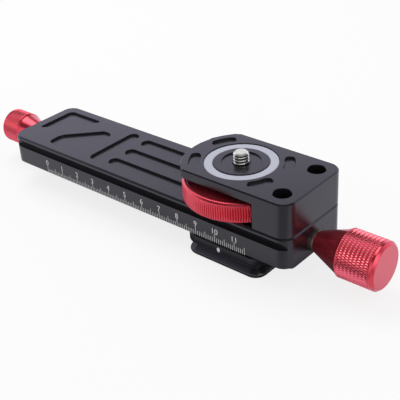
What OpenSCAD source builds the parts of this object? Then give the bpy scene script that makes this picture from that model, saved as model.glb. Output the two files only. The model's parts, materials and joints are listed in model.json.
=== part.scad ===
// Macro focusing rail: a camera platform on a long dovetail rail, driven over its
// clamping foot by a lead screw with a knurled knob at each end.
// Origin: centre of the foot's underside. +X runs along the rail towards the large
// knob, +Y across it, +Z up towards the camera.

/* [Foot] */
// Length and width of the square dovetail foot
foot_w = 38.1; // [36:0.1:44]
// Height of the foot
foot_h = 9.8; // [9.6:0.1:14]
// Radius of the foot's upright corners
foot_corner_r = 5.5; // [3:0.1:8]
// Height of the plain band above the foot's grooves
foot_band_h = 3.5; // [2:0.1:4.5]
// Depth of the 45 degree groove round the foot
foot_groove_d = 2.2; // [1:0.1:2.5]
// Bevel round the foot's underside
foot_bevel = 1; // [0.2:0.1:1.5]
// Gap between the foot and the underside of the rail
foot_gap = 0.4; // [0.3:0.05:1]
// Distance from the rail's left end to the middle of the foot
foot_at = 125.9; // [100:0.1:135]

/* [Tripod thread] */
// Drilled radius of the tripod thread in the foot
tripod_hole_r = 2.55; // [2.4:0.05:3]
// Depth of the tripod thread
tripod_hole_depth = 8; // [5:0.1:8.5]

/* [Rail] */
// Length of the rail
rail_l = 158.6; // [150:0.1:200]
// Width of the rail
rail_w = 38.1; // [36:0.1:44]
// Height of the rail
rail_h = 13.7; // [13:0.1:18]
// Radius of the rail's upright corners
rail_corner_r = 5.5; // [3:0.1:8]
// Thickness of the lip above the rail's side grooves
lip_h = 1.6; // [1:0.1:2.5]
// Height of the rail's side grooves at their mouth
rail_groove_h = 3.4; // [2.6:0.1:4]
// Depth of the rail's side grooves
rail_groove_d = 2.2; // [1:0.1:2.4]
// Depth of the channel in the underside of the rail
channel_depth = 9.2; // [9.2:0.1:9.5]
// Half width of the channel at its mouth
channel_mouth = 10; // [10:0.1:11]
// Half width of the channel at its roof
channel_roof = 15.3; // [14.5:0.1:15.5]
// Height of the lead screw's axis above the underside of the rail
axis_h = 4.8; // [4.7:0.05:4.9]

/* [Rail top pockets] */
// Depth of the pockets milled in the rail's top
pocket_depth = 1; // [0.5:0.1:2]
// Usual corner radius of the pockets
pocket_r = 2.4; // [1:0.1:2.4]
// Corner radius at the sharp ends of the triangular pocket
tip_r = 1; // [0.5:0.1:1.5]
// Distance from the rail's edges to the pockets
pocket_edge = 4.7; // [4:0.1:6]
// Distance from the rail's left end to the triangular pocket
triangle_at = 5.1; // [5.1:0.1:6]
// Length of the triangular pocket's legs
triangle_leg = 21.5; // [16:0.1:22]
// Distance from the rail's left end to the cut-off pocket
cut_pocket_at = 20.3; // [19.5:0.1:21]
// Length of the cut-off pocket along the rail
cut_pocket_l = 19.8; // [18:0.1:22]
// Width of the cut-off pocket across the rail
cut_pocket_w = 22.3; // [20:0.1:24]
// Length cut from each side at the cut-off pocket's far corner
cut_pocket_cut = 14.1; // [13:0.1:15]
// Corner radius where the cut meets the pocket's left side
cut_pocket_r = 5.7; // [2:0.1:5.7]
// Distance from the rail's left end to the cross pocket
cross_pocket_at = 47; // [46:0.1:49]
// Width of the long and the cross pockets
pocket_w = 5.4; // [4.9:0.1:6]
// Distance from the rail's left end to the long pockets
long_pocket_at = 57.2; // [56:0.1:60]
// Length of the long pockets
long_pocket_l = 45.7; // [30:0.1:46]
// Distance between the middles of the long pockets
long_pocket_pitch = 10.3; // [8:0.1:11]

/* [Carriage] */
// Distance from the middle of the foot to the carriage's left end
carriage_left = 17; // [16:0.1:17]
// Distance from the middle of the foot to the carriage's right end
carriage_right = 12; // [11.8:0.1:12]
// Clearance between the carriage and the channel's roof
carriage_play = 0.3; // [0.15:0.05:0.5]
// Thickness of the plastic slide liners
liner_t = 0.8; // [0.5:0.1:1]
// Running clearance between a liner and the rail
liner_play = 0.1; // [0.05:0.01:0.15]
// Length of the lead nut
nut_l = 13; // [11:0.1:13]
// Width of the lead nut
nut_w = 15; // [14:0.1:15]
// Clearance round the lead nut
nut_play = 0.05; // [0.02:0.01:0.15]

/* [Lead screw] */
// Radius of the threaded part of the lead screw
screw_r = 3; // [2.8:0.05:3.1]
// Radius of the plain ends of the lead screw
journal_r = 2.5; // [2:0.05:2.5]
// Running clearance between the lead screw and the nut and bushings
screw_play = 0.05; // [0.02:0.01:0.1]

/* [End bearings] */
// Length of the end plugs
plug_l = 7; // [6.5:0.1:7]
// Clearance between an end plug and the channel
plug_play = 0.05; // [0.02:0.01:0.1]
// Outer radius of the bushings
bushing_r = 3.5; // [3.1:0.05:3.8]
// Radius of the bushings' flanges
flange_r = 4.4; // [4:0.1:5.5]
// Thickness of the bushings' flanges
flange_t = 1.1; // [0.5:0.1:1.5]
// Thickness of the thrust washer and height of the spring washer
thrust_t = 0.8; // [0.5:0.1:1]
// Outer radius of the thrust and spring washers
thrust_r = 4; // [3.6:0.1:4.1]
// Gap between a bushing's flange and its knob
knob_gap = 0.15; // [0.1:0.05:0.4]

/* [Large knob] */
// Radius of the large knob's drum
big_r = 10; // [8:0.05:13]
// Length of the large knob's drum
big_drum_l = 17; // [10:0.1:22]
// Length of the large knob's cone
big_cone_l = 12.7; // [8:0.1:18]
// Bevel at the outer end of the large knob
big_bevel = 1.1; // [0.3:0.1:2]
// Depth of the shaft hole in the large knob
big_bore_l = 20; // [14:0.1:24]

/* [Small knob] */
// Radius of the small knob's drum
small_r = 8.1; // [6.5:0.05:11]
// Length of the small knob's drum
small_drum_l = 11.3; // [8:0.1:16]
// Length of the small knob's cone
small_cone_l = 10.6; // [6:0.1:14]
// Bevel at the outer end of the small knob
small_bevel = 0.7; // [0.3:0.1:1.5]
// Depth of the shaft hole in the small knob
small_bore_l = 15; // [11:0.1:18]

/* [Knob fixing] */
// Radius of a knob's neck where it meets the bushing
neck_r = 4.5; // [4:0.1:5]
// Clearance between the knobs and the shaft
knob_play = 0.02; // [0.01:0.01:0.1]
// Distance from the small end of a cone to its grub screw
grub_at = 6; // [5:0.1:7]
// Radius of the grub screws
grub_r = 1.5; // [1:0.1:2]
// Length of the grub screws
grub_l = 3; // [2:0.1:3.2]

/* [Platform] */
// Height of the camera platform
platform_h = 15; // [14:0.1:20]
// Distance from the rail's right end to the camera screw's axis
camera_at = 35.7; // [33:0.1:40]
// Radius of the platform's round end
platform_arc_r = 24.3; // [22:0.1:27]
// Thickness of the plate over the wheel
plate_t = 4.2; // [3.6:0.1:6]
// Distance from the rail's right end to the edge of the wheel's slot
slot_at = 16.6; // [14:0.1:18]
// Inner radius of the arc pockets in the platform
arc_in_r = 17.1; // [16.2:0.1:18]
// Outer radius of the arc pockets in the platform
arc_out_r = 21.4; // [19:0.1:22]
// Angle that each arc pocket spans
arc_span = 31.5; // [12:0.5:40]
// Angle between an arc pocket's middle and the rail's axis
arc_angle = 30; // [25:1:40]
// Depth of the arc pockets
arc_depth = 1; // [0.5:0.1:2]
// Radius of the shallow recess round the camera screw
recess_r = 8.2; // [6:0.1:9]
// Depth of the shallow recess round the camera screw
recess_depth = 0.6; // [0.3:0.1:1.5]

/* [Platform screws] */
// Distance from the rail's right end to the platform screws
platform_screw_at = 7.6; // [6:0.1:9]
// Distance between the platform screws
platform_screw_pitch = 22.5; // [18:0.1:26]
// Radius of the platform screws' counterbores
counterbore_r = 3.7; // [3.7:0.05:4.5]
// Depth of the platform screws' counterbores
counterbore_depth = 9; // [6:0.1:10]

/* [Rubber ring] */
// Inner radius of the rubber ring
ring_in_r = 11.5; // [10:0.1:12]
// Outer radius of the rubber ring
ring_out_r = 15.05; // [13:0.05:15.5]
// Thickness of the rubber ring
ring_t = 1.5; // [1:0.1:2.5]
// Depth of the rubber ring's face below the platform's top
ring_sunk = 0.25; // [0:0.05:0.5]
// Gap round the rubber ring in its groove
ring_gap = 0.2; // [0.05:0.05:0.5]

/* [Camera wheel] */
// Radius of the camera wheel
wheel_r = 24.2; // [20:0.1:26.5]
// Height of the camera wheel
wheel_h = 8.4; // [7.5:0.1:8.7]
// Gap between the camera wheel and the rail
wheel_gap = 0.8; // [0.4:0.05:1.2]
// Clearance round the camera wheel in its slot
wheel_room = 0.7; // [0.4:0.05:1]
// Bevel of the wheel's rims
wheel_bevel = 0.9; // [0.3:0.1:1.5]
// Inner radius of the raised rim on the wheel's top
wheel_rim_r = 22.4; // [18:0.1:22.6]
// Depth of the wheel's top face below its rim
wheel_dish = 0.5; // [0.2:0.1:1]
// Radius of the hub under the upper washer
wheel_hub_r = 10; // [9.5:0.1:12]
// Play between the wheel and its plastic washers
washer_play = 0.1; // [0.05:0.01:0.2]
// Inner radius of the wheel's lower washer
washer_in_r = 10; // [9.6:0.1:12]
// Outer radius of the wheel's lower washer
washer_out_r = 16; // [13:0.1:18]
// Outer radius of the wheel's upper washer
hub_washer_r = 9; // [7:0.1:9.4]
// Depth of the groove that holds the lower washer in the rail
washer_groove = 0.4; // [0.2:0.05:1]

/* [Camera screw] */
// Radius of the camera screw's thread
stud_r = 3.175; // [3:0.005:4.8]
// Height of the camera screw above the platform
stud_rise = 4.3; // [3.5:0.1:7]
// Height of the camera screw's bevelled tip
stud_bevel = 0.8; // [0.5:0.1:1.5]
// Radius of the camera screw's plain shank
shank_r = 3.6; // [3.4:0.05:5]
// Clearance round the shank in the platform and wheel
shank_play = 0.05; // [0.02:0.01:0.1]
// Radius of the camera screw's flange
stud_flange_r = 9; // [8:0.1:9.4]
// Thickness of the camera screw's flange
stud_flange_t = 1.6; // [1.2:0.1:2.5]

/* [Hidden] */
$fn = 96;
eps = 0.01;
// how far a cut runs past the face that it opens
past = 1;

// colours
black_metal = [0.13, 0.13, 0.145];
red_metal = [0.78, 0.1, 0.16];
brass = [0.75, 0.62, 0.35];
steel = [0.75, 0.75, 0.77];
dark_steel = [0.12, 0.12, 0.13];
ring_grey = [0.68, 0.72, 0.8];
white_plastic = [0.9, 0.9, 0.87];

// levels
rail_z = foot_h + foot_gap;
rail_top = rail_z + rail_h;
roof_z = rail_z + channel_depth;
axis_z = rail_z + axis_h;
platform_top = rail_top + platform_h;
plate_z = platform_top - plate_t;
wheel_z = rail_top + wheel_gap;
wheel_top = wheel_z + wheel_h;
ring_floor = platform_top - ring_sunk - ring_t;
stud_base = platform_top - recess_depth;
stud_tip = platform_top + stud_rise;
foot_groove_z = foot_h - foot_band_h - foot_groove_d;
nut_top_play = 0.4;
nut_top = roof_z - nut_top_play;

// places along the rail
left_x = -foot_at;
right_x = left_x + rail_l;
camera_x = right_x - camera_at;
slot_x = right_x - slot_at;
platform_screw_x = right_x - platform_screw_at;
nut_screw_x = 3.5;
nut_screw_y = 5.4;
nut_screw_places = [[nut_screw_x, -nut_screw_y], [-nut_screw_x, nut_screw_y]];
big_neck_x = right_x + flange_t + knob_gap;
small_neck_x = left_x - flange_t - knob_gap;

// small fasteners: shank radius, head radius, head height, socket across corners
foot_screw = [1.5, 2.75, 2.2, 1.45];
plug_screw = [1.5, 2.75, 1.8, 1.45];
m4_screw = [2, 3.5, 4, 1.75];
nut_screw = [1, 1.9, 1.3, 0.85];
stud_screw = [1, 1.8, 0.9, 0.75];
foot_screw_left = 13;
foot_screw_right = 9.2;
foot_screw_y = 6.2;
foot_screw_l = 7;
foot_counterbore = 4;
nut_screw_l = 4.2;
plug_screw_y = 6.6;
plug_counterbore = 2.2;
plug_screw_rise = 2.4;
m4_engagement = 3.2;
stud_screw_at = 6.4;
stud_screw_l = 4;
screw_clearance = 0.15;
head_clearance = 0.15;
thread_play = 0.02;
hole_end = 0.3;
bushing_fit = 0.01;
hex_depth = 0.6;
trough_play = 0.6;
end_recess_play = 0.3;
end_recess_depth = 1.5;
liner_end = 0.6;
spring_wire = 0.4;
knob_end_gap = 1;
drum_shoulder = 0.55;
grub_hex = 0.85;

// lean of the channel's walls
wall_slope = (channel_roof - channel_mouth) / channel_depth;
wall_lean = sqrt(1 + wall_slope * wall_slope);

function unit(v) = v / norm(v);

// rectangle from x0 to x1, w wide, with round corners
module round_box(x0, x1, w, r) {
    translate([x0 + r, -w / 2]) square([x1 - x0 - 2 * r, w]);
    translate([x0, -w / 2 + r]) square([x1 - x0, w - 2 * r]);
    for (x = [x0 + r, x1 - r], y = [-w / 2 + r, w / 2 - r])
        translate([x, y]) circle(r);
}

// groove along each side of the rail: flat floor, upright wall, 45 degree flank under the lip
module rail_grooves() {
    high = rail_top - lip_h;
    low = high - rail_groove_h;
    inner = rail_w / 2 - rail_groove_d;
    for (side = [-1, 1]) rotate([90, 0, 90])
        linear_extrude(2 * rail_l, center = true)
            polygon([[side * inner, low],
                     [side * (rail_w / 2 + eps), low],
                     [side * (rail_w / 2 + eps), high + eps],
                     [side * inner, high - rail_groove_d]]);
}

// convex outline with a round corner of its own radius at each point
module round_polygon(points, radii) {
    n = len(points);
    corners = [for (i = [0:n - 1])
        let (p = points[i],
             a = unit(points[(i + n - 1) % n] - p),
             b = unit(points[(i + 1) % n] - p),
             half = acos(a * b) / 2)
        [p + a * radii[i] / tan(half), p + b * radii[i] / tan(half),
         p + unit(a + b) * radii[i] / sin(half)]];
    polygon([for (c = corners) each [c[0], c[1]]]);
    for (i = [0:n - 1]) translate(corners[i][2]) circle(radii[i]);
}

// square slab from z0 to z1 with round corners, its sides drawn in by in0 at z0 and in1 at z1
module tapered_slab(z0, z1, in0, in1) {
    half = foot_w / 2;
    middle = half - foot_corner_r;
    for (turn = [0, 90]) rotate([90, 0, turn])
        linear_extrude(2 * middle, center = true)
            polygon([[in0 - half, z0], [half - in0, z0], [half - in1, z1], [in1 - half, z1]]);
    for (x = [-middle, middle], y = [-middle, middle]) translate([x, y, z0])
        cylinder(r1 = foot_corner_r - in0, r2 = foot_corner_r - in1, h = z1 - z0);
}

// socket screw with its head's underside at the origin and its shank towards -Z
module cap_screw(s, l) {
    difference() {
        union() {
            cylinder(r = s[1], h = s[2]);
            translate([0, 0, -l]) cylinder(r = s[0], h = l + eps);
        }
        translate([0, 0, s[2] * (1 - hex_depth)]) cylinder(r = s[3], h = s[2], $fn = 6);
    }
}

// the channel's section, drawn in from its walls by side and from its roof by top
module channel_section(side = 0, top = 0, drop = 0) {
    mouth = channel_mouth - side * wall_lean - wall_slope * drop;
    roof = channel_roof - side * wall_lean - wall_slope * top;
    polygon([[-mouth, -drop], [mouth, -drop],
             [roof, channel_depth - top], [-roof, channel_depth - top]]);
}

module along_channel(x0, x1) {
    translate([x0, 0, rail_z]) rotate([90, 0, 90]) linear_extrude(x1 - x0) children();
}

// a cylinder along X
module rod(x0, x1, r) {
    translate([x0, 0, axis_z]) rotate([0, 90, 0]) cylinder(r = r, h = x1 - x0);
}

module foot_plate() {
    color(black_metal) difference() {
        union() {
            tapered_slab(0, foot_bevel, foot_bevel, 0);
            tapered_slab(foot_bevel, foot_groove_z - foot_groove_d, 0, 0);
            tapered_slab(foot_groove_z - foot_groove_d, foot_groove_z, 0, foot_groove_d);
            tapered_slab(foot_groove_z, foot_groove_z + foot_groove_d, foot_groove_d, 0);
            tapered_slab(foot_groove_z + foot_groove_d, foot_h, 0, 0);
        }
        translate([0, 0, -past]) cylinder(r = tripod_hole_r, h = tripod_hole_depth + past);
        foot_screw_places() foot_hole(foot_screw);
        for (place = nut_screw_places) translate(place) foot_hole(nut_screw);
    }
}

// puts its child at each screw that holds the carriage on the foot
module foot_screw_places() {
    for (x = [-foot_screw_left, foot_screw_right], y = [-foot_screw_y, foot_screw_y])
        translate([x, y, 0]) children();
}

// hole through the foot with a counterbore for a screw's head in its underside
module foot_hole(s) {
    translate([0, 0, -past]) {
        cylinder(r = s[0] + screw_clearance, h = foot_h + 2 * past);
        cylinder(r = s[1] + head_clearance, h = foot_counterbore + past);
    }
}

module foot_screws() {
    color(dark_steel)
        foot_screw_places() translate([0, 0, foot_counterbore]) rotate([180, 0, 0])
            cap_screw(foot_screw, foot_h - foot_counterbore + foot_screw_l);
}

module nut_screws() {
    color(dark_steel)
        for (place = nut_screw_places)
            translate([place[0], place[1], foot_counterbore]) rotate([180, 0, 0])
                cap_screw(nut_screw, foot_h - foot_counterbore + nut_screw_l);
}

module carriage() {
    trough_r = screw_r + trough_play;
    end_r = thrust_r + end_recess_play;
    color(black_metal) difference() {
        along_channel(-carriage_left, carriage_right)
            channel_section(liner_t + liner_play, carriage_play, foot_gap);
        rod(-foot_w, foot_w, trough_r);
        translate([-foot_w, -trough_r, axis_z]) cube([2 * foot_w, 2 * trough_r, rail_h]);
        rod(-foot_w, end_recess_depth - carriage_left, end_r);
        rod(carriage_right - end_recess_depth, foot_w, end_r);
        translate([-nut_l / 2 - nut_play, -nut_w / 2 - nut_play, foot_h - past])
            cube([nut_l + 2 * nut_play, nut_w + 2 * nut_play, rail_h]);
        foot_screw_places() translate([0, 0, foot_h - past])
            cylinder(r = foot_screw[0] + thread_play, h = foot_screw_l + hole_end + past);
    }
}

// plastic strip along one slanting side of the carriage
module slide_liner(side) {
    low = liner_end;
    high = channel_depth - liner_end;
    outer = channel_mouth - liner_play * wall_lean;
    inner = outer - liner_t * wall_lean;
    color(white_plastic)
        along_channel(-carriage_left, carriage_right)
            polygon([[side * (outer + wall_slope * low), low],
                     [side * (outer + wall_slope * high), high],
                     [side * (inner + wall_slope * high), high],
                     [side * (inner + wall_slope * low), low]]);
}

module slide_liner_near() { slide_liner(-1); }
module slide_liner_far() { slide_liner(1); }

module lead_nut() {
    color(brass) difference() {
        translate([-nut_l / 2, -nut_w / 2, foot_h]) cube([nut_l, nut_w, nut_top - foot_h]);
        rod(-nut_l, nut_l, screw_r + screw_play);
        for (place = nut_screw_places)
            translate([place[0], place[1], foot_h - past])
                cylinder(r = nut_screw[0] + thread_play, h = nut_screw_l + hole_end + past);
    }
}

module rail_outline() {
    round_box(left_x, right_x, rail_w, rail_corner_r);
}

module rail_body() {
    color(black_metal) difference() {
        translate([0, 0, rail_z]) linear_extrude(rail_h) rail_outline();
        rail_grooves();
        along_channel(left_x - past, right_x + past) channel_section(drop = past);
        rail_pockets();
        translate([camera_x, 0, rail_top - washer_groove]) difference() {
            cylinder(r = washer_out_r + washer_play, h = washer_groove + past);
            translate([0, 0, -past]) cylinder(r = washer_in_r - washer_play, h = washer_groove + 3 * past);
        }
        platform_screw_places() translate([0, 0, rail_top - m4_engagement - hole_end])
            cylinder(r = m4_screw[0] + thread_play, h = m4_engagement + past);
        plug_screw_places() translate([0, 0, channel_depth - past])
            cylinder(r = plug_screw[0] + thread_play, h = plug_screw_rise + hole_end + past);
    }
}

// recesses in the rail's top: a triangle, a cut-off square, a cross slot, three long slots
module rail_pockets() {
    far = rail_w / 2 - pocket_edge;
    tri_x = left_x + triangle_at;
    cut_x = left_x + cut_pocket_at;
    cut_far = cut_pocket_w - far;
    translate([0, 0, rail_top - pocket_depth]) linear_extrude(pocket_depth + past) {
        round_polygon([[tri_x, far], [tri_x + triangle_leg, far], [tri_x, far - triangle_leg]],
                      [pocket_r, tip_r, tip_r]);
        round_polygon([[cut_x, -far], [cut_x + cut_pocket_l, -far],
                       [cut_x + cut_pocket_l, cut_far],
                       [cut_x + cut_pocket_cut, cut_far],
                       [cut_x, cut_far - cut_pocket_cut]],
                      [pocket_r, pocket_r, pocket_r, pocket_r, cut_pocket_r]);
        translate([left_x + cross_pocket_at, 0]) round_box(0, pocket_w, 2 * far, pocket_r);
        for (i = [-1:1])
            translate([left_x + long_pocket_at, i * long_pocket_pitch])
                round_box(0, long_pocket_l, pocket_w, pocket_r);
    }
}

// puts its child at each end plug screw, on the underside of the rail
module plug_screw_places(ends = [-1, 1]) {
    for (end = ends, y = [-1, 1] * plug_screw_y)
        translate([end < 0 ? left_x + plug_l / 2 : right_x - plug_l / 2, y, rail_z])
            children();
}

module end_plug(end) {
    x0 = end < 0 ? left_x : right_x - plug_l;
    color(black_metal) difference() {
        intersection() {
            along_channel(x0, x0 + plug_l) channel_section(plug_play, plug_play);
            translate([0, 0, rail_z - past]) linear_extrude(rail_h + 2 * past) rail_outline();
        }
        rod(x0 - past, x0 + plug_l + past, bushing_r + bushing_fit);
        plug_screw_places([end]) translate([0, 0, -past]) {
            cylinder(r = plug_screw[0] + screw_clearance, h = rail_h);
            cylinder(r = plug_screw[1] + head_clearance, h = plug_counterbore + past);
        }
    }
}

module end_plug_right() { end_plug(1); }
module end_plug_left() { end_plug(-1); }

module plug_screws() {
    color(dark_steel) plug_screw_places() translate([0, 0, plug_counterbore]) rotate([180, 0, 0])
        cap_screw(plug_screw, channel_depth - plug_counterbore + plug_screw_rise);
}

module bushing(end) {
    color(brass) translate([end < 0 ? left_x : right_x, 0, axis_z]) rotate([0, end * 90, 0])
        difference() {
            union() {
                translate([0, 0, -plug_l]) cylinder(r = bushing_r, h = plug_l + eps);
                cylinder(r = flange_r, h = flange_t);
            }
            translate([0, 0, -plug_l - past])
                cylinder(r = journal_r + screw_play, h = plug_l + flange_t + 2 * past);
        }
}

module bushing_right() { bushing(1); }
module bushing_left() { bushing(-1); }

module thrust_washer() {
    x = right_x - plug_l - thrust_t;
    color(white_plastic) difference() {
        rod(x, x + thrust_t, thrust_r);
        rod(x - past, x + thrust_t + past, journal_r + 2 * screw_play);
    }
}

// coned spring washer that takes up end play at the far bearing
module spring_washer() {
    in_r = journal_r + 2 * screw_play;
    color(steel) translate([left_x + plug_l, 0, axis_z]) rotate([0, 90, 0]) rotate_extrude()
        polygon([[in_r, thrust_t - spring_wire], [thrust_r, 0],
                 [thrust_r, spring_wire], [in_r, thrust_t]]);
}

module lead_screw() {
    x0 = left_x + plug_l + thrust_t;
    x1 = right_x - plug_l - thrust_t;
    color(steel) union() {
        rod(x0, x1, screw_r);
        rod(small_neck_x - small_bore_l + knob_end_gap, x0 + eps, journal_r);
        rod(x1 - eps, big_neck_x + big_bore_l - knob_end_gap, journal_r);
    }
}

// knob with a knurled drum on a cone, its neck at the origin, growing towards +Z
module knob(r, drum_l, cone_l, bevel, bore_l) {
    end = cone_l + drum_l;
    difference() {
        rotate_extrude() polygon([
            [0, 0], [neck_r, 0],
            [r - drum_shoulder, cone_l], [r, cone_l + drum_shoulder],
            [r, end - bevel], [r - bevel, end], [0, end]]);
        translate([0, 0, -past]) cylinder(r = journal_r + knob_play, h = bore_l + past);
        translate([0, 0, grub_at]) rotate([0, 90, 0]) cylinder(r = grub_r + thread_play, h = r);
    }
}

module big_knob() {
    color(red_metal) translate([big_neck_x, 0, axis_z]) rotate([0, 90, 0])
        knob(big_r, big_drum_l, big_cone_l, big_bevel, big_bore_l);
}

module small_knob() {
    color(red_metal) translate([small_neck_x, 0, axis_z]) mirror([1, 0, 0]) rotate([0, 90, 0])
        knob(small_r, small_drum_l, small_cone_l, small_bevel, small_bore_l);
}

// headless screws that hold the knobs on the shaft, from below
module knob_grub_screws() {
    color(dark_steel)
        for (x = [big_neck_x + grub_at, small_neck_x - grub_at])
            translate([x, 0, axis_z - journal_r - grub_l]) difference() {
                cylinder(r = grub_r, h = grub_l);
                translate([0, 0, -eps]) cylinder(r = grub_hex, h = grub_l / 2, $fn = 6);
            }
}

module platform_outline() {
    intersection() {
        translate([camera_x, 0]) circle(platform_arc_r);
        translate([camera_x - rail_w, -rail_w / 2]) square([2 * rail_w, rail_w]);
    }
    round_box(camera_x - rail_corner_r, right_x, rail_w, rail_corner_r);
}

// outline of an arc pocket with round ends, its middle at the given angle
module arc_pocket_outline(angle) {
    end_r = (arc_out_r - arc_in_r) / 2;
    mid_r = arc_in_r + end_r;
    reach = arc_span / 2 - asin(end_r / mid_r);
    far = 2 * arc_out_r;
    intersection() {
        difference() {
            circle(arc_out_r);
            circle(arc_in_r);
        }
        polygon([[0, 0],
                 [far * cos(angle - reach), far * sin(angle - reach)],
                 [far * cos(angle + reach), far * sin(angle + reach)]]);
    }
    for (a = [angle - reach, angle + reach])
        translate([mid_r * cos(a), mid_r * sin(a)]) circle(end_r);
}

// puts its child on the axis of each platform screw
module platform_screw_places() {
    for (y = [-1, 1] * platform_screw_pitch / 2) translate([platform_screw_x, y, 0]) children();
}

module platform_block() {
    color(black_metal) difference() {
        translate([0, 0, rail_top]) linear_extrude(platform_h) platform_outline();
        translate([camera_x, 0, rail_top - past])
            cylinder(r = wheel_r + wheel_room, h = plate_z - rail_top + past);
        translate([camera_x - 2 * rail_w, -rail_w, rail_top - past])
            cube([slot_x - camera_x + 2 * rail_w, 2 * rail_w, plate_z - rail_top + past]);
        translate([camera_x, 0, 0]) {
            translate([0, 0, ring_floor]) difference() {
                cylinder(r = ring_out_r + ring_gap, h = ring_t + past);
                translate([0, 0, -past]) cylinder(r = ring_in_r - ring_gap, h = ring_t + 3 * past);
            }
            translate([0, 0, stud_base]) cylinder(r = recess_r, h = recess_depth + past);
            translate([0, 0, plate_z - past])
                cylinder(r = shank_r + shank_play, h = plate_t + 2 * past);
            translate([0, 0, platform_top - arc_depth]) linear_extrude(arc_depth + past)
                for (a = [arc_angle, 180 - arc_angle, 180 + arc_angle, -arc_angle])
                    arc_pocket_outline(a);
        }
        platform_screw_places() {
            translate([0, 0, rail_top - past])
                cylinder(r = m4_screw[0] + screw_clearance, h = platform_h + 2 * past);
            translate([0, 0, platform_top - counterbore_depth])
                cylinder(r = counterbore_r, h = counterbore_depth + past);
        }
    }
}

module platform_screws() {
    color(dark_steel) platform_screw_places()
        translate([0, 0, platform_top - counterbore_depth])
            cap_screw(m4_screw, platform_h - counterbore_depth + m4_engagement);
}

module washer(z, in_r, out_r, t) {
    translate([camera_x, 0, z]) difference() {
        cylinder(r = out_r, h = t);
        translate([0, 0, -past]) cylinder(r = in_r, h = t + 2 * past);
    }
}

module rubber_ring() { color(ring_grey) washer(ring_floor, ring_in_r, ring_out_r, ring_t); }

module wheel_washer_lower() {
    color(white_plastic) washer(rail_top - washer_groove, washer_in_r, washer_out_r,
        washer_groove + wheel_gap - washer_play);
}

module wheel_washer_upper() {
    color(white_plastic) washer(wheel_top + washer_play, shank_r + 2 * shank_play,
        hub_washer_r, plate_z - wheel_top - washer_play);
}

module camera_wheel() {
    color(red_metal) translate([camera_x, 0, wheel_z]) difference() {
        rotate_extrude() polygon([
            [0, 0], [wheel_r - wheel_bevel / 2, 0], [wheel_r, wheel_bevel / 2],
            [wheel_r, wheel_h - wheel_bevel], [wheel_r - wheel_bevel, wheel_h],
            [wheel_rim_r, wheel_h], [wheel_rim_r, wheel_h - wheel_dish],
            [wheel_hub_r, wheel_h - wheel_dish], [wheel_hub_r, wheel_h], [0, wheel_h]]);
        translate([0, 0, -past]) cylinder(r = shank_r + shank_play, h = wheel_h + 2 * past);
        translate([0, 0, -past]) cylinder(r = stud_flange_r + shank_play, h = stud_flange_t + past);
        stud_screw_places()
            cylinder(r = stud_screw[0] + thread_play, h = stud_screw[2] + stud_screw_l + hole_end);
    }
}

// puts its child at each screw of the camera screw's flange
module stud_screw_places() {
    for (a = [0:120:240]) rotate([0, 0, a + 90]) translate([stud_screw_at, 0, 0]) children();
}

module camera_stud() {
    color(steel) translate([camera_x, 0, 0]) difference() {
        union() {
            translate([0, 0, wheel_z]) cylinder(r = stud_flange_r, h = stud_flange_t);
            translate([0, 0, wheel_z]) cylinder(r = shank_r, h = stud_base - wheel_z);
            translate([0, 0, stud_base - eps])
                cylinder(r = stud_r, h = stud_tip - stud_base - stud_bevel + eps);
            translate([0, 0, stud_tip - stud_bevel])
                cylinder(r1 = stud_r, r2 = stud_r - stud_bevel, h = stud_bevel);
        }
        translate([0, 0, wheel_z]) stud_screw_places() {
            translate([0, 0, -past]) cylinder(r = stud_screw[0] + thread_play, h = stud_flange_t + 2 * past);
            translate([0, 0, -past]) cylinder(r = stud_screw[1] + head_clearance, h = stud_screw[2] + past);
        }
    }
}

module stud_screws() {
    color(dark_steel) translate([camera_x, 0, wheel_z + stud_screw[2]])
        stud_screw_places() rotate([180, 0, 0]) cap_screw(stud_screw, stud_screw_l);
}

foot_plate();
foot_screws();
carriage();
slide_liner_near();
slide_liner_far();
lead_nut();
nut_screws();
rail_body();
end_plug_right();
end_plug_left();
plug_screws();
bushing_right();
bushing_left();
thrust_washer();
spring_washer();
lead_screw();
big_knob();
small_knob();
knob_grub_screws();
platform_block();
platform_screws();
rubber_ring();
wheel_washer_lower();
wheel_washer_upper();
camera_wheel();
camera_stud();
stud_screws();
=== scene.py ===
import json
from math import cos, pi, radians, sin
import bmesh
import bpy
from mathutils import Matrix, Vector


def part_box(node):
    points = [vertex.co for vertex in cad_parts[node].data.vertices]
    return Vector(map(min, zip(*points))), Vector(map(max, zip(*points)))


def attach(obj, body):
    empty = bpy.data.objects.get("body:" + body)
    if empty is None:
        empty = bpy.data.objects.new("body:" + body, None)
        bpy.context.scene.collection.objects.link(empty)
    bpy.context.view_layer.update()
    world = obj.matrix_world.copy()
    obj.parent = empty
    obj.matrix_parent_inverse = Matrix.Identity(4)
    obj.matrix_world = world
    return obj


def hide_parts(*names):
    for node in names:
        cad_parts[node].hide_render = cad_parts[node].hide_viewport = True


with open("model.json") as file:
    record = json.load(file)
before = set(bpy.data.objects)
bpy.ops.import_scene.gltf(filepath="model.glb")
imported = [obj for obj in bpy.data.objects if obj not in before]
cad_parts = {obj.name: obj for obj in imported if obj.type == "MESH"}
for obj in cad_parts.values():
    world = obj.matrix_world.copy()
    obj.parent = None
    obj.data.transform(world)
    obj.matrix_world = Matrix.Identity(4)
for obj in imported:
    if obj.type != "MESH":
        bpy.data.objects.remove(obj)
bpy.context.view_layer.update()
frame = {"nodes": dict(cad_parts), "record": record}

mm = 0.001
behaviour = frame["record"]["behaviour"]
nodeSlot = {part["node"]: part["material_slot"] for part in frame["record"]["subparts"]}
bodyOf = {node: body for body, nodes in behaviour["bodies"].items() for node in nodes}
pivot = {joint["name"]: Vector(joint.get("pos_m", (0, 0, 0))) / mm for joint in behaviour["joints"]}
screwAxis = pivot["drive_spin"]  # points on the two axes of turning, in mm
studAxis = pivot["camera_screw_spin"]

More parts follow.
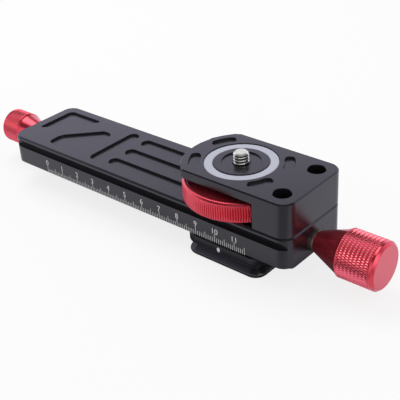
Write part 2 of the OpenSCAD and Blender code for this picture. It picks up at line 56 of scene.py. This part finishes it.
# the photograph's camera, in mm and degrees
cameraView = {
    "aim": (-8.6, -19.6, 28.5),  # middle of the picture
    "distance": 350,
    "azimuth": 42.35,
    "elevation": 30.67,
    "roll": -3.62,
    "lens": 80.4,
    "sensor": 36,
    "nearest": 10,
}


def makeCamera():
    turn = (Matrix.Rotation(radians(cameraView["azimuth"]), 4, "Z")
            @ Matrix.Rotation(radians(90 - cameraView["elevation"]), 4, "X")
            @ Matrix.Rotation(radians(cameraView["roll"]), 4, "Z"))
    back = turn @ Vector((0, 0, 1))
    data = bpy.data.cameras.new("photoCamera")
    data.lens = cameraView["lens"]
    data.sensor_width = cameraView["sensor"]
    data.clip_start = cameraView["nearest"] * mm
    camera = bpy.data.objects.new("photoCamera", data)
    bpy.context.collection.objects.link(camera)
    place = Vector(cameraView["aim"]) * mm + back * cameraView["distance"] * mm
    camera.matrix_world = Matrix.Translation(place) @ turn
    bpy.context.scene.camera = camera


makeCamera()
print("camera placed")


# a socket whose sums and products add their own Math nodes
class Value:
    def __init__(self, paint, socket):
        self.paint = paint
        self.socket = socket

    def __add__(self, other):
        return self.paint.maths("ADD", self, other)

    def __rsub__(self, other):
        return self.paint.maths("SUBTRACT", other, self)

    def __mul__(self, other):
        return self.paint.maths("MULTIPLY", self, other)

    __radd__ = __add__
    __rmul__ = __mul__


class Paint:
    def __init__(self, owner):
        self.owner = owner
        owner.use_nodes = True
        self.tree = owner.node_tree
        self.tree.nodes.clear()

    def add(self, kind, settings=None, values=None, out=0):
        node = self.tree.nodes.new(kind)
        for key, setting in (settings or {}).items():
            setattr(node, key, setting)
        for key, value in (values or {}).items():
            self.plug(node.inputs[key], value)
        return None if out is None else Value(self, node.outputs[out])

    def plug(self, socket, value):
        if isinstance(value, Value):
            self.tree.links.new(value.socket, socket)
        else:
            socket.default_value = value

    def maths(self, operation, a, b):
        return self.add("ShaderNodeMath", {"operation": operation}, {0: a, 1: b})

    def vectors(self, operation, *vectors, out="Vector"):
        return self.add("ShaderNodeVectorMath", {"operation": operation}, dict(enumerate(vectors)), out)

    def place(self):
        return self.add("ShaderNodeTexCoord", out="Object")

    def along(self, axis, place):
        return self.add("ShaderNodeSeparateXYZ", None, {"Vector": place}, axis)

    # goes smoothly from low to high as a value goes from start to end
    def fade(self, value, start, end, low=0.0, high=1.0):
        return self.add("ShaderNodeMapRange", {"interpolation_type": "SMOOTHSTEP"},
                        {"Value": value, "From Min": start, "From Max": end, "To Min": low, "To Max": high})

    # detail is how many finer layers the noise has
    def noise(self, scale, detail=3, stretch=(1, 1, 1)):
        where = self.add("ShaderNodeMapping", None, {"Vector": self.place(), "Scale": stretch})
        return self.add("ShaderNodeTexNoise", None, {"Vector": where, "Scale": scale, "Detail": detail},
                        "Fac")

    # mixes two colours, each of three numbers or a Value; 6 and 7 are the colours' sockets, 2 the result
    def tint(self, factor, first, second):
        first, second = [colour if isinstance(colour, Value) else (*colour, 1) for colour in (first, second)]
        return self.add("ShaderNodeMix", {"data_type": "RGBA"}, {"Factor": factor, 6: first, 7: second}, 2)

    def bump(self, height, depth, strength):
        return self.add("ShaderNodeBump", None,
                        {"Height": height, "Distance": depth * mm, "Strength": strength})

    def finish(self, values):
        shader = self.add("ShaderNodeBsdfPrincipled", None, values)
        self.add("ShaderNodeOutputMaterial", None, {"Surface": shader}, None)
        return self.owner


def newPaint(name):
    return Paint(bpy.data.materials.new(name))


# in every finish, grain, cloud and streak are noise scales, uneven is what they add to the
# roughness, and depth (in mm) and bump are how deep and how strong their bumps are
blackFinish = {
    "dark": (0.006, 0.0058, 0.007), "light": (0.009, 0.0088, 0.0105),
    "rough": 0.19, "uneven": 0.1, "gloss": 0.5, "cloud": 60, "grain": 5200, "depth": 0.02, "bump": 0.35,
}
redFinish = {
    "dark": (0.64, 0.035, 0.055), "light": (0.72, 0.048, 0.07),
    "crestHighlight": (0.9, 0.24, 0.28),  # painted highlight colour of the knurl's crests
    "metal": 0.85, "rough": 0.2, "uneven": 0.1, "coat": 0.6, "coatRough": 0.28,
    "cloud": 90, "grain": 5200, "depth": 0.01, "bump": 0.3,
}
blastDetail = 2  # finer layers in the blasted grain of both


def blackAnodised():
    paint = newPaint("blackAnodised")
    cloud = paint.noise(blackFinish["cloud"])
    grain = paint.noise(blackFinish["grain"], blastDetail)
    return paint.finish({
        "Base Color": paint.tint(cloud, blackFinish["dark"], blackFinish["light"]),
        "Metallic": 0.0, "Specular IOR Level": blackFinish["gloss"],
        "Roughness": blackFinish["rough"] + blackFinish["uneven"] * grain,
        "Normal": paint.bump(grain, blackFinish["depth"], blackFinish["bump"])})


def redAnodised():
    paint = newPaint("redAnodised")
    cloud = paint.noise(redFinish["cloud"])
    grain = paint.noise(redFinish["grain"], blastDetail)
    crest = paint.add("ShaderNodeAttribute", {"attribute_name": "crest"}, None, "Fac")
    plain = paint.tint(cloud, redFinish["dark"], redFinish["light"])
    # the crests turn lighter: a painted highlight, as strong as the crest attribute says
    return paint.finish({
        "Base Color": paint.tint(crest * crest, plain, redFinish["crestHighlight"]),
        "Metallic": redFinish["metal"], "Roughness": redFinish["rough"] + redFinish["uneven"] * grain,
        "Coat Weight": redFinish["coat"], "Coat Roughness": redFinish["coatRough"],
        "Normal": paint.bump(grain, redFinish["depth"], redFinish["bump"])})


metalGrain = {"streak": 1200, "uneven": 0.12, "depth": 0.01, "bump": 0.2}
metals = {
    "brass": {"name": "brass", "dark": (0.4, 0.31, 0.22), "light": (0.5, 0.4, 0.3), "rough": 0.3},
    "steel": {"name": "groundSteel", "dark": (0.5, 0.5, 0.52), "light": (0.62, 0.62, 0.64), "rough": 0.24,
              "stretch": (0.1, 1, 1)},
    "dark_steel": {"name": "blackOxide", "dark": (0.018, 0.018, 0.02), "light": (0.035, 0.035, 0.04),
                   "rough": 0.38},
}


def bareMetal(name, dark, light, rough, stretch=(1, 1, 1)):
    paint = newPaint(name)
    streak = paint.noise(metalGrain["streak"], stretch=stretch)
    return paint.finish({
        "Base Color": paint.tint(streak, dark, light), "Metallic": 1.0,
        "Roughness": rough + metalGrain["uneven"] * streak,
        "Normal": paint.bump(streak, metalGrain["depth"], metalGrain["bump"])})


# root and crest are radii of the camera screw's thread, base and tip its heights, all in mm; at the roots and
# below the base the steel gets painted shade
studFinish = {
    "dark": (0.66, 0.68, 0.56), "light": (0.86, 0.88, 0.72), "paintedShade": (0.03, 0.029, 0.027),
    "root": 2.75, "crest": 3.05, "base": 38.5, "baseFade": 0.4, "tip": 42.4, "tipFade": 0.5,
    "rough": 0.12, "uneven": 0.1, "tipRough": 0.2,
}


# bright crests and tip, and painted shade at the roots where the thread is cut in towards the axis, and on
# the shank below the base
def threadedSteel():
    paint = newPaint("brightSteel")
    streak = paint.noise(metalGrain["streak"])
    fromAxis = paint.vectors("MULTIPLY_ADD", paint.place(), (1, 1, 0),
                             (-studAxis.x * mm, -studAxis.y * mm, 0))
    radius = paint.vectors("LENGTH", fromAxis, out="Value")
    up = paint.along("Z", paint.place())
    base, tip = studFinish["base"], studFinish["tip"]
    crest = paint.fade(radius, studFinish["root"] * mm, studFinish["crest"] * mm)
    onTop = paint.fade(up, tip * mm, (tip + studFinish["tipFade"]) * mm)
    clear = paint.fade(up, base * mm, (base + studFinish["baseFade"]) * mm)
    bright = paint.tint(streak, studFinish["dark"], studFinish["light"])
    # painted shade: the roots and the shank below the base turn dark, while the crests and tip keep the
    # bright steel
    return paint.finish({
        "Base Color": paint.tint(paint.maths("MAXIMUM", crest * clear, onTop), studFinish["paintedShade"], bright),
        "Metallic": 1.0,
        "Roughness": studFinish["rough"] + studFinish["uneven"] * streak + studFinish["tipRough"] * onTop})


plasticGrain = {"grain": 2600, "uneven": 0.1, "depth": 0.02, "bump": 0.25}
plastics = {
    "ring_rubber": {"name": "paleRubber", "dark": (0.42, 0.435, 0.51), "light": (0.47, 0.485, 0.565),
                    "rough": 0.5},
    "acetal": {"name": "acetal", "dark": (0.78, 0.78, 0.74), "light": (0.84, 0.84, 0.8), "rough": 0.32},
    "whiteFill": {"name": "engravingWhite", "dark": (0.6, 0.6, 0.6), "light": (0.68, 0.68, 0.68),
                   "rough": 0.6},
}


def softPlastic(name, dark, light, rough):
    paint = newPaint(name)
    grain = paint.noise(plasticGrain["grain"])
    return paint.finish({
        "Base Color": paint.tint(grain, dark, light), "Roughness": rough + plasticGrain["uneven"] * grain,
        "Normal": paint.bump(grain, plasticGrain["depth"], plasticGrain["bump"])})


finishes = {"anodised_black": blackAnodised(), "anodised_red": redAnodised(), "bright_steel": threadedSteel()}
for slot, metal in metals.items():
    finishes[slot] = bareMetal(**metal)
for slot, plastic in plastics.items():
    finishes[slot] = softPlastic(**plastic)
print("finishes made")


# how solids are copied and shaded, in mm and degrees
shading = {
    "merge": 0.002,  # corners closer than this are one
    "flat": 0.4,     # faces that differ by less than this are one
    "sharp": 28,     # an edge that bends more shades sharp
    "edge": 32,      # and one that bends more than this is chamfered or rounded
}


def keep(name, shape, material, body):
    for face in shape.faces:
        face.smooth = True
    for edge in shape.edges:
        edge.smooth = edge.calc_face_angle(pi) < radians(shading["sharp"])
    mesh = bpy.data.meshes.new(name)
    shape.to_mesh(mesh)
    shape.free()
    mesh.materials.append(material)
    piece = bpy.data.objects.new(name, mesh)
    bpy.context.collection.objects.link(piece)
    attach(piece, body)
    return piece


def copyOf(node):
    shape = bmesh.new()
    shape.from_mesh(frame["nodes"][node].data)
    bmesh.ops.remove_doubles(shape, verts=shape.verts, dist=shading["merge"] * mm)
    bmesh.ops.dissolve_limit(shape, angle_limit=radians(shading["flat"]),
                             verts=shape.verts, edges=shape.edges)
    return shape


# widths of the flat chamfers on the milled pieces, in mm
chamfers = {
    "rail_body": {"outside": 0.7, "pocket": 0.15},
    "platform_block": {"outside": 0.5, "pocket": 0.2},
    "foot_plate": {"outside": 0.3, "pocket": 0},
}
pocketZone = {"deep": 2, "inside": 2}  # a pocket's rim lies this near the top and this far in, in mm
# the rail's channel and side grooves stay sharp, so that the end plugs sit flush
railSharp = {"channel": 16, "roof": 19.8, "grooveLow": 18.5, "grooveHigh": 22.4}


def staysSharp(middle):
    inChannel = abs(middle.y) < railSharp["channel"] * mm and middle.z < railSharp["roof"] * mm
    return inChannel or railSharp["grooveLow"] < middle.z / mm < railSharp["grooveHigh"]


# chamfers the rims of the pockets in a milled piece's top first, and then its outside
def chamferEdges(node, shape):
    low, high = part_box(node)

    def milled(edge, pocket):
        if not edge.is_manifold or not edge.is_convex or edge.calc_face_angle() < radians(shading["edge"]):
            return False
        middle = (edge.verts[0].co + edge.verts[1].co) / 2
        if node == "rail_body" and staysSharp(middle):
            return False
        inside = min(middle.x - low[0], high[0] - middle.x, middle.y - low[1], high[1] - middle.y)
        onRim = middle.z > high[2] - pocketZone["deep"] * mm and inside > pocketZone["inside"] * mm
        return pocket == onRim

    for pocket, width in ((True, chamfers[node]["pocket"]), (False, chamfers[node]["outside"])):
        cut = [edge for edge in shape.edges if milled(edge, pocket)]
        if cut and width:
            bmesh.ops.bevel(shape, geom=cut, offset=width * mm, offset_type="OFFSET", segments=1, profile=0.5,
                            affect="EDGES", clamp_overlap=False, material=-1, loop_slide=False)


# large flat faces set the shade at their edges, so that they stay flat beside a chamfer
def evenShade(piece):
    even = piece.modifiers.new("even", "WEIGHTED_NORMAL")
    even.keep_sharp = True
    even.weight = 90


# widths of the rounded edges, in mm
roundings = {
    "carriage": 0.2, "lead_nut": 0.15, "rubber_ring": 0.25,
    "big_knob": 0.2, "small_knob": 0.2, "camera_wheel": 0.25, "camera_stud": 0.08,
    "bushing_right": 0.12, "bushing_left": 0.12, "platform_screws": 0.2, "foot_screws": 0.12,
    "plug_screws": 0.12, "nut_screws": 0.1, "stud_screws": 0.08, "knob_grub_screws": 0.08,
    "lead_screw": 0.12,
}


# the edges to round are marked before a relief is cut, so that it stays crisp
def markEdges(shape):
    weights = shape.edges.layers.float.new("bevel_weight_edge")
    for edge in shape.edges:
        edge[weights] = edge.is_manifold and edge.calc_face_angle() > radians(shading["edge"])


def softenEdges(piece, width):
    bevel = piece.modifiers.new("edge", "BEVEL")
    bevel.width = width * mm
    bevel.segments = 2
    bevel.limit_method = "WEIGHT"
    bevel.use_clamp_overlap = False
    bevel.harden_normals = True


# height of one ridge a turn, cut flat at 1: the steeper its sides, the wider its crest
def ridge(turns, steep):
    return min(1, steep * (1 - abs(2 * (turns % 1) - 1)))


def diamonds(knurl, turn, along):
    return min(ridge(turn * knurl["around"] + along / knurl["pitch"], knurl["steep"]),
               ridge(turn * knurl["around"] - along / knurl["pitch"], knurl["steep"]))


def teeth(wheel, turn, along):
    return ridge(turn * wheel["around"], wheel["steep"])


def thread(screw, turn, along):
    return ridge(along / screw["pitch"] - turn * screw["around"], screw["steep"])


# reliefs, in mm: plain is what stays plain at the node's low and high ends, around is how many
# ridges go round, columns is the facets across each of them and rows those along the axis, tip
# is how far a 45 degree bevel draws the high end in, and the last key is how strongly the crests take a
# painted highlight
bigKnurl = {
    "pattern": diamonds, "axis": "X", "centre": screwAxis, "plain": (13.35, 2.05),
    "radius": 10.0, "depth": 0.4, "around": 63, "pitch": 3.25, "steep": 1.4,
    "columns": 6, "rows": 53, "tip": 0, "crestHighlight": 1.0,
}
smallKnurl = {
    "pattern": diamonds, "axis": "X", "centre": screwAxis, "plain": (1.45, 11.35),
    "radius": 8.1, "depth": 0.34, "around": 51, "pitch": 3.25, "steep": 1.4,
    "columns": 6, "rows": 34, "tip": 0, "crestHighlight": 0.2,
}
wheelTeeth = {
    "pattern": teeth, "axis": "Z", "centre": studAxis, "plain": (0.6, 1.1),
    "radius": 24.2, "depth": 0.45, "around": 150, "steep": 1.8,
    "columns": 6, "rows": 6, "tip": 0, "crestHighlight": 0,
}
cameraThread = {
    "pattern": thread, "axis": "Z", "centre": studAxis, "plain": (13.7, 0),
    "radius": 3.175, "depth": 0.65, "around": 1, "pitch": 1.27, "steep": 1.3,
    "columns": 64, "rows": 84, "tip": 0.8, "crestHighlight": 0,
}
driveThread = {
    "pattern": thread, "axis": "X", "centre": screwAxis, "plain": (23.55, 28.55),
    "radius": 3.0, "depth": 0.6, "around": 1, "pitch": 1.25, "steep": 1.3,
    "columns": 28, "rows": 680, "tip": 0, "crestHighlight": 0,
}
reliefs = {"big_knob": bigKnurl, "small_knob": smallKnurl, "camera_wheel": wheelTeeth,
           "camera_stud": cameraThread, "lead_screw": driveThread}
# which faces of a plain piece make way for a relief, and how its grid is closed
banding = {
    "share": 0.985,  # a face goes if it lies further out than this share of the radius
    "under": 0.05,   # less this, in mm
    "slope": 0.8,    # and if it faces along the axis by less than this
    "rim": 0.0005,   # share of the band at each end that keeps the plain radius
    "merge": 0.0001,  # corners closer than this are one, in mm
}


# takes away the plain surface where a relief goes, from low to high along its axis
def openBand(shape, relief, along, low, high):
    nearSurface = (relief["radius"] - relief["tip"]) * banding["share"] - banding["under"]
    for place in (low, high):
        bmesh.ops.bisect_plane(shape, geom=shape.verts[:] + shape.edges[:] + shape.faces[:],
                               plane_co=along * place * mm, plane_no=along, dist=banding["merge"] * mm)
    hidden = []
    for face in shape.faces:
        middle = face.calc_center_median()
        reach = middle.dot(along) / mm
        away = middle - relief["centre"] * mm
        out = away - along * away.dot(along)
        facesOut = abs(face.normal.dot(along)) < banding["slope"]
        if low < reach < high and out.length > nearSurface * mm and facesOut:
            hidden.append(face)
    bmesh.ops.delete(shape, geom=hidden, context="FACES")


# wraps a grid round the axis, its height above the roots given by the relief's pattern
def cutRelief(node, shape):
    relief = reliefs[node]
    along = Vector((1, 0, 0)) if relief["axis"] == "X" else Vector((0, 0, 1))
    side = Vector((0, 1, 0)) if relief["axis"] == "X" else Vector((1, 0, 0))
    other = along.cross(side)
    ends = [Vector(corner).dot(along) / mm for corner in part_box(node)]
    low, high = ends[0] + relief["plain"][0], ends[1] - relief["plain"][1]
    centre = relief["centre"]
    base = centre - along * centre.dot(along)
    openBand(shape, relief, along, low, high)
    shape.verts.layers.float.new("crest")
    band = bmesh.new()
    crest = band.verts.layers.float.new("crest")
    bmesh.ops.create_grid(band, x_segments=relief["around"] * relief["columns"],
                          y_segments=relief["rows"], size=0.5)
    for vert in band.verts:
        turn, part = vert.co.x + 0.5, vert.co.y + 0.5
        place = low + part * (high - low)
        raised = relief["pattern"](relief, turn, place - low)
        inBand = banding["rim"] < part < 1 - banding["rim"]
        reach = relief["radius"] - relief["depth"] * (1 - raised) * inBand
        reach = min(reach, relief["radius"] - relief["tip"] + high - place)
        # how strongly each crest takes the painted highlight
        vert[crest] = relief["crestHighlight"] * raised * inBand
        angle = 2 * pi * turn
        vert.co = (base + along * place + (side * cos(angle) + other * sin(angle)) * reach) * mm
    bmesh.ops.remove_doubles(band, verts=band.verts, dist=banding["merge"] * mm)
    band.normal_update()
    face = next(iter(band.faces))
    out = face.calc_center_median() - centre * mm
    if face.normal.dot(out - along * out.dot(along)) < 0:
        bmesh.ops.reverse_faces(band, faces=band.faces)
    mesh = bpy.data.meshes.new("band")
    band.to_mesh(mesh)
    band.free()
    shape.from_mesh(mesh)
    bpy.data.meshes.remove(mesh)


def dress(node, slot):
    shape = copyOf(node)
    if node in chamfers:
        chamferEdges(node, shape)
    else:
        markEdges(shape)
    if node in reliefs:
        cutRelief(node, shape)
    piece = keep(node + "_dressed", shape, finishes[slot], bodyOf[node])
    if node in chamfers:
        evenShade(piece)
    else:
        softenEdges(piece, roundings[node])
    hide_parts(node)


for node, slot in nodeSlot.items():
    if node in chamfers or node in roundings:
        dress(node, slot)
    else:
        solid = frame["nodes"][node]
        solid.data.materials.clear()
        solid.data.materials.append(finishes[slot])
print("pieces dressed:", len(chamfers) + len(roundings))

# the engraved scale, filled with white, in mm: zero is its distance from the rail's left end,
# and the heights are above the rail's underside
scaleMarks = {
    "zero": 23.3, "last": 115, "foot": 0.4, "mm": 2.2, "half": 3.3, "cm": 4.0, "width": 0.21,
    "numberHeight": 2.5, "numberMiddle": 5.6, "proud": 0.012,
    "numeral": 0.7,  # a numeral's height as a share of its font's size
}


def addBlock(shape, centre, size):
    made = bmesh.ops.create_cube(shape, size=1)["verts"]
    bmesh.ops.scale(shape, vec=Vector(size) * mm, verts=made)
    bmesh.ops.translate(shape, vec=Vector(centre) * mm, verts=made)


def addNumber(shape, number, x, y, z):
    curve = bpy.data.curves.new("number", "FONT")
    curve.body = str(number)
    curve.size = scaleMarks["numberHeight"] / scaleMarks["numeral"] * mm
    curve.align_x = "CENTER"
    curve.resolution_u = 3
    curve.extrude = scaleMarks["proud"] * mm
    text = bpy.data.objects.new("number", curve)
    bpy.context.collection.objects.link(text)
    bpy.context.view_layer.update()
    mesh = bpy.data.meshes.new_from_object(text.evaluated_get(bpy.context.evaluated_depsgraph_get()))
    mesh.transform(Matrix.Translation(Vector((x, y, z - scaleMarks["numberHeight"] / 2)) * mm)
                   @ Matrix.Rotation(pi / 2, 4, "X"))
    shape.from_mesh(mesh)
    bpy.data.objects.remove(text)
    bpy.data.curves.remove(curve)
    bpy.data.meshes.remove(mesh)


def makeScale():
    left, face, bottom = [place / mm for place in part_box("rail_body")[0]]
    zero = left + scaleMarks["zero"]
    shape = bmesh.new()
    for tick in range(scaleMarks["last"] + 1):
        size = "cm" if tick % 10 == 0 else "half" if tick % 5 == 0 else "mm"
        tall = scaleMarks[size]
        addBlock(shape, (zero + tick, face, bottom + scaleMarks["foot"] + tall / 2),
                 (scaleMarks["width"], 2 * scaleMarks["proud"], tall))
    for number in range(scaleMarks["last"] // 10 + 1):
        addNumber(shape, number, zero + 10 * number, face, bottom + scaleMarks["numberMiddle"])
    return keep("scale_marks", shape, finishes["whiteFill"], bodyOf["rail_body"])


# the oval dot on the foot that the scale is read against, in mm
indexDot = {"along": -0.93, "up": 7.7, "halfWidth": 0.75, "halfHeight": 1.1, "segments": 40}


def makeIndexDot():
    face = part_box("foot_plate")[0][1] / mm
    shape = bmesh.new()
    bmesh.ops.create_cone(shape, cap_ends=True, segments=indexDot["segments"], radius1=1, radius2=1, depth=1)
    bmesh.ops.rotate(shape, verts=shape.verts, cent=(0, 0, 0), matrix=Matrix.Rotation(pi / 2, 3, "X"))
    size = Vector((indexDot["halfWidth"], 2 * scaleMarks["proud"], indexDot["halfHeight"]))
    bmesh.ops.scale(shape, vec=size * mm, verts=shape.verts)
    bmesh.ops.translate(shape, vec=Vector((indexDot["along"], face, indexDot["up"])) * mm, verts=shape.verts)
    return keep("index_dot", shape, finishes["whiteFill"], bodyOf["foot_plate"])


makeScale()
makeIndexDot()
print("scale made")

# floor and surroundings; heights of the sky go from 0 at the horizon to 1 overhead
studio = {
    "floor": 0.84, "floorSize": 6,  # colour, and half its width in metres
    "floorSeen": 0.8, "floorGloss": 0.5,  # shares of its own light, to the eye and as metal mirrors it
    "ambient": 0.7,
    "horizon": 1.15, "ceiling": 0.04, "turn": (0.525, 0.57),  # brightness low and high, and where it turns
    "top": 0.85, "softbox": (0.84, 0.94),
    "cool": (0.965, 0.925, 1.16),  # colour of the white that the metal mirrors
}
# painted shade on the floor, only as metal mirrors it: darker close beside the foot, and in front to the
# right, in mm
besideFoot = {"middle": (-8, 0, 0), "half": (40, 19, 1), "reach": (5, 15), "share": 0.1}
frontRight = {"from": (10, -20), "to": (40, -45), "share": 0.55}


def rays(paint, *names):
    path = paint.tree.nodes.new("ShaderNodeLightPath")
    return [Value(paint, path.outputs[name]) for name in names]


def floorAsMirrored(paint):
    away = paint.vectors("SUBTRACT", paint.place(), tuple(Vector(besideFoot["middle"]) * mm))
    past = paint.vectors("SUBTRACT", paint.vectors("ABSOLUTE", away), tuple(Vector(besideFoot["half"]) * mm))
    gap = paint.vectors("LENGTH", paint.vectors("MAXIMUM", past, (0, 0, 0)), out="Value")
    near, far = besideFoot["reach"]
    close = paint.fade(gap, near * mm, far * mm, besideFoot["share"])
    reached = [paint.fade(paint.along(axis, paint.place()), start * mm, end * mm)
               for axis, start, end in zip("XY", frontRight["from"], frontRight["to"])]
    return close * (1 - (1 - frontRight["share"]) * reached[0] * reached[1])


def makeFloor():
    paint = newPaint("paleFloor")
    seen, mirrored, through = rays(paint, "Is Camera Ray", "Is Glossy Ray", "Is Transmission Ray")
    most = studio["floorSeen"]
    share = paint.maths("MINIMUM", seen * most + mirrored * studio["floorGloss"] + through * most, most)
    # metal mirrors the floor darker near the object: painted shade
    lit = 1 - mirrored * (1 - floorAsMirrored(paint))
    colour = paint.tint(lit, (0, 0, 0), (studio["floor"],) * 3)
    dull = paint.add("ShaderNodeBsdfDiffuse", None, {"Color": colour})
    shade = paint.tint(mirrored, (1, 1, 1), studio["cool"])
    bright = paint.add("ShaderNodeEmission", None, {"Color": shade, "Strength": lit})
    mixed = paint.add("ShaderNodeMixShader", None, {0: share, 1: dull, 2: bright})
    paint.add("ShaderNodeOutputMaterial", None, {"Surface": mixed}, None)
    shape = bmesh.new()
    bmesh.ops.create_grid(shape, x_segments=1, y_segments=1, size=studio["floorSize"])
    mesh = bpy.data.meshes.new("floor")
    shape.to_mesh(mesh)
    shape.free()
    mesh.materials.append(paint.owner)
    floor = bpy.data.objects.new("floor", mesh)
    bpy.context.collection.objects.link(floor)


# white all round, as a mirror sees it, then a dark ceiling with a soft box straight above
def makeWorld():
    world = bpy.data.worlds.new("studio")
    bpy.context.scene.world = world
    paint = Paint(world)
    seen, mirrored, through = rays(paint, "Is Camera Ray", "Is Glossy Ray", "Is Transmission Ray")
    up = paint.along("Z", paint.add("ShaderNodeTexCoord", out="Generated"))
    room = paint.fade(up, *studio["turn"], studio["horizon"], studio["ceiling"])
    box = paint.fade(up, *studio["softbox"], 0.0, studio["top"])
    plain = paint.maths("MAXIMUM", seen, through)
    strength = plain + (1 - plain) * (mirrored * (room + box) + (1 - mirrored) * studio["ambient"])
    shade = paint.tint(mirrored, (1, 1, 1), studio["cool"])
    sky = paint.add("ShaderNodeBackground", None, {"Color": shade, "Strength": strength})
    paint.add("ShaderNodeOutputWorld", None, {"Surface": sky}, None)


# places and sizes in metres, power in watts
lamps = {
    "key": {"place": (-0.4, 0.1, 0.75), "size": 0.55, "power": 2.8},
    "fill": {"place": (0.8, -0.2, 0.45), "size": 0.5, "power": 1.2},
}
lampAim = (-0.03, 0, 0.02)


def addLamp(name, place, size, power):
    data = bpy.data.lights.new(name, "AREA")
    data.shape = "SQUARE"
    data.size = size
    data.energy = power
    lamp = bpy.data.objects.new(name, data)
    bpy.context.collection.objects.link(lamp)
    lamp.location = place
    lamp.rotation_euler = (Vector(lampAim) - Vector(place)).to_track_quat("-Z", "Y").to_euler()


makeFloor()
makeWorld()
for name, lamp in lamps.items():
    addLamp(name, **lamp)

bpy.context.scene.view_settings.view_transform = "Standard"
print("stage set")
